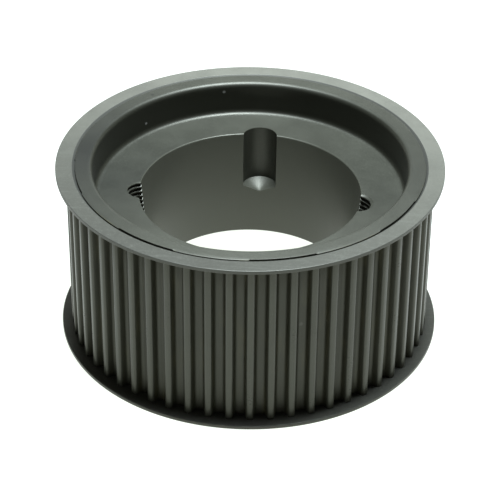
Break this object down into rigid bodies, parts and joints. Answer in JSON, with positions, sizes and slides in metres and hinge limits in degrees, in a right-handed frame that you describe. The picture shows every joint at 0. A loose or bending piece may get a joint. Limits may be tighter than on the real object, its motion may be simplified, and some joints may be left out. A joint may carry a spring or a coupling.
{
  "type": "timing belt pulley",
  "caption": "Wide flanged toothed pulley for a synchronous belt, with a deep recess at each end and a tapered bore that a split locking bush clamps to a shaft.",
  "frame": {"origin": "centre of the pulley: on the bore axis, half way between its two end faces", "axes": "+Z along the bore axis towards the bore's large end, where the half holes open; +Y towards the plain half hole"},
  "size_m": [0.149, 0.149, 0.0716],
  "materials": {
    "body_iron": "machined all over, black phosphate",
    "flange_steel": "sheet steel, thin black phosphate worn light grey"
  },
  "bodies": {
    "root": {"toothed_body": "body_iron", "upper_flange": "flange_steel", "lower_flange": "flange_steel"}
  },
  "joints": []
}
